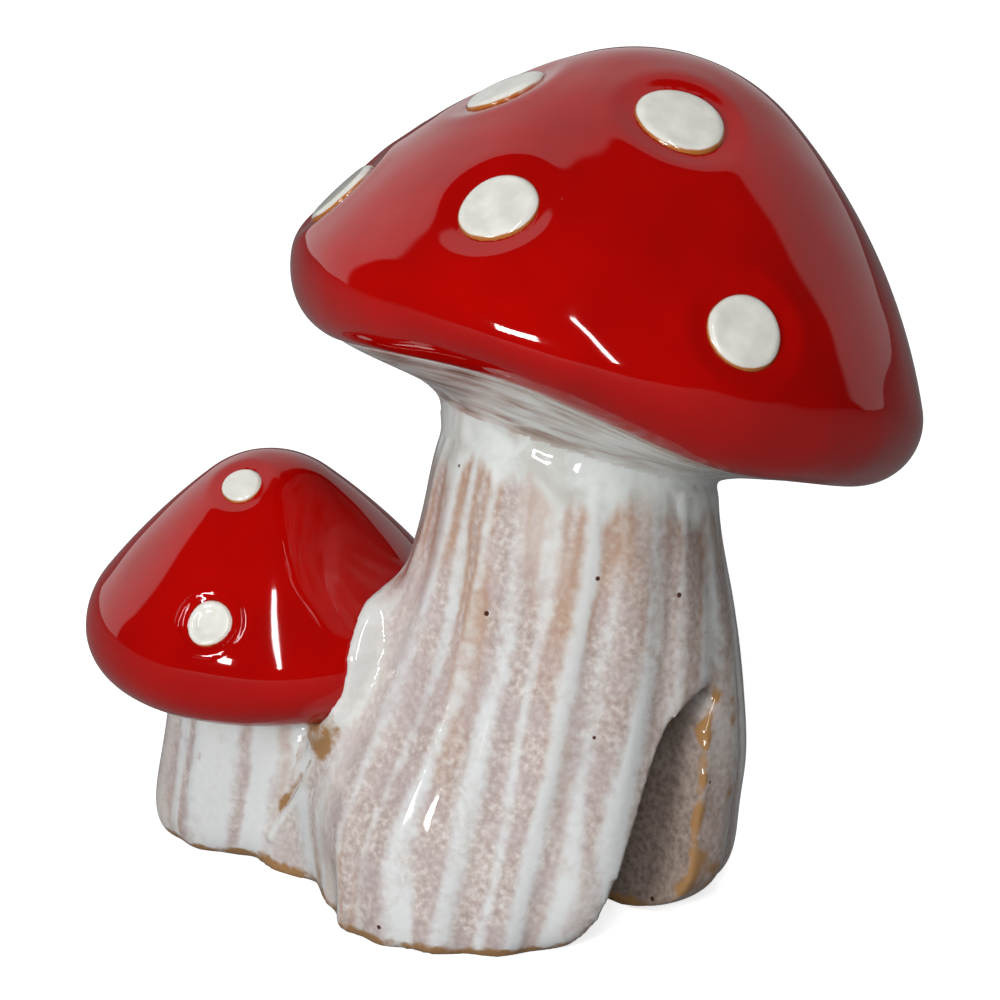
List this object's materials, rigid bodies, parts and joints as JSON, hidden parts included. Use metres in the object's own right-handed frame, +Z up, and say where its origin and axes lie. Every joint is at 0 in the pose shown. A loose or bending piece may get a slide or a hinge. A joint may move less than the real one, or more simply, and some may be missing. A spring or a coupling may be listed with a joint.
{
  "type": "ceramic mushroom ornament",
  "caption": "Glazed ceramic ornament of a large leaning toadstool and a small one on a shared foot, with an arched slot through its base.",
  "frame": {"origin": "middle of the front lobe's foot, on the surface that the ornament stands on", "axes": "+X along the slot through the foot, away from the small mushroom; +Y from the front lobe back through the slot, the way the large mushroom leans; +Z up"},
  "size_m": [0.0794, 0.069, 0.0839],
  "materials": {
    "large_cap_red_glaze": "gloss",
    "small_cap_red_glaze": "gloss",
    "underside_white_glaze": "gloss",
    "small_underside_white_glaze": "gloss",
    "collar_white_glaze": "gloss",
    "large_stem_streaked_glaze": "gloss",
    "small_stem_streaked_glaze": "gloss",
    "web_white_glaze": "gloss",
    "spot_white_glaze": "gloss"
  },
  "bodies": {
    "root": {"large_cap": "large_cap_red_glaze", "large_cap_underside": "underside_white_glaze", "large_neck_collar": "collar_white_glaze", "large_stem": "large_stem_streaked_glaze", "small_cap": "small_cap_red_glaze", "small_cap_underside": "small_underside_white_glaze", "small_stem": "small_stem_streaked_glaze", "joining_web": "web_white_glaze", "large_cap_spot_1": "spot_white_glaze", "large_cap_spot_2": "spot_white_glaze", "large_cap_spot_3": "spot_white_glaze", "large_cap_spot_4": "spot_white_glaze", "large_cap_spot_5": "spot_white_glaze", "large_cap_spot_6": "spot_white_glaze", "large_cap_spot_7": "spot_white_glaze", "large_cap_spot_8": "spot_white_glaze", "large_cap_spot_9": "spot_white_glaze", "large_cap_spot_10": "spot_white_glaze", "large_cap_spot_11": "spot_white_glaze", "small_cap_spot_1": "spot_white_glaze", "small_cap_spot_2": "spot_white_glaze", "small_cap_spot_3": "spot_white_glaze", "small_cap_spot_4": "spot_white_glaze", "small_cap_spot_5": "spot_white_glaze"}
  },
  "joints": []
}
